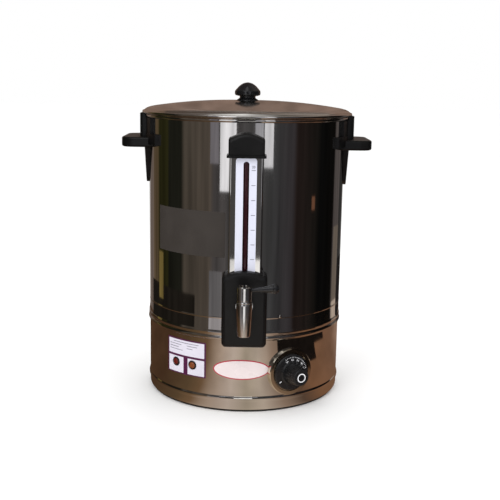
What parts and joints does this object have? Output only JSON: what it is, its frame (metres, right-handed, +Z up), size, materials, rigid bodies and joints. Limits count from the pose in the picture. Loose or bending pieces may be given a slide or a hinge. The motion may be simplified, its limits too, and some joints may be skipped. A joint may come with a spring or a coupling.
{
  "type": "hot water urn",
  "caption": "Free-standing catering urn with lift-off lid, side grips, sight gauge, quarter-turn draw-off tap and thermostat dial.",
  "frame": {"origin": "on the urn's upright axis, at the level of the surface that it stands on", "axes": "+Z up along the urn's axis, -Y towards the user (tap and gauge side), +X to the right of the tap"},
  "size_m": [0.377, 0.3813, 0.475],
  "materials": {
    "polished_steel": "mirror polished stainless steel",
    "plain_steel": "plain stainless and zinc plated steel",
    "tap_metal": "brushed and polished plated brass",
    "bezel_metal": "polished plated steel",
    "black_moulding": "satin black heat-resistant moulding",
    "black_gloss": "glossy black moulding",
    "dial_mark": "white cap",
    "scale_white": "white painted strip",
    "glass": "clear tube",
    "rubber": "black rubber",
    "red_lens": "dark red translucent lens",
    "amber_lens": "amber translucent lens",
    "element_steel": "heater sheath",
    "block_plastic": "ivory moulding",
    "copper": "copper tube"
  },
  "bodies": {
    "urn": {"tank": "polished_steel", "base_shell": "polished_steel", "bottom_plate": "plain_steel", "bottom_plate_screws": "plain_steel", "foot_ring": "rubber", "shell_rivets": "plain_steel", "right_handle": "black_moulding", "left_handle": "black_moulding", "right_handle_screws": "plain_steel", "left_handle_screws": "plain_steel", "gauge_cover": "polished_steel", "scale_plate": "scale_white", "gauge_glass": "glass", "gauge_seals": "rubber", "gauge_top_cap": "black_moulding", "gauge_cap_screws": "plain_steel", "gauge_tee": "tap_metal", "tap_shroud": "black_moulding", "tap_body": "tap_metal", "tap_washers": "rubber", "tap_lock_nut": "tap_metal", "dial_bezel": "bezel_metal", "thermostat_body": "block_plastic", "thermostat_bracket": "plain_steel", "thermostat_bulb": "copper", "bulb_clips": "plain_steel", "red_lamp_lens": "red_lens", "red_lamp_body": "black_gloss", "amber_lamp_lens": "amber_lens", "amber_lamp_body": "black_gloss", "lamp_clips": "plain_steel", "heating_element": "element_steel", "element_nuts": "tap_metal", "element_seals": "rubber", "boil_dry_cutout": "block_plastic", "cutout_bracket": "plain_steel", "cable_gland": "black_moulding", "gland_nut": "black_moulding", "terminal_block": "block_plastic"},
    "lid": {"lid": "polished_steel", "lid_locating_ring": "plain_steel", "lid_knob": "black_gloss", "lid_knob_washer": "rubber", "lid_knob_screw": "plain_steel"},
    "tap_lever": {"tap_plug": "tap_metal", "tap_plug_ring": "rubber", "tap_head": "tap_metal", "tap_cap_ring": "bezel_metal", "tap_lever": "black_gloss"},
    "dial": {"dial_knob": "black_moulding", "dial_hub_cap": "dial_mark", "thermostat_spindle": "plain_steel"}
  },
  "joints": [
    {"name": "lid_lift", "type": "slide", "parent": "urn", "child": "lid", "axis": [0, 0, 1], "range_m": [0, 0.12]},
    {"name": "tap_turn", "type": "hinge", "parent": "urn", "child": "tap_lever", "pos_m": [0, -0.205, 0.19], "axis": [0, 0, -1], "range_deg": [0, 90]},
    {"name": "dial_turn", "type": "hinge", "parent": "urn", "child": "dial", "pos_m": [0.06811, -0.13252, 0.0594], "axis": [0.4571, -0.8894, 0], "range_deg": [-270, 0]}
  ]
}
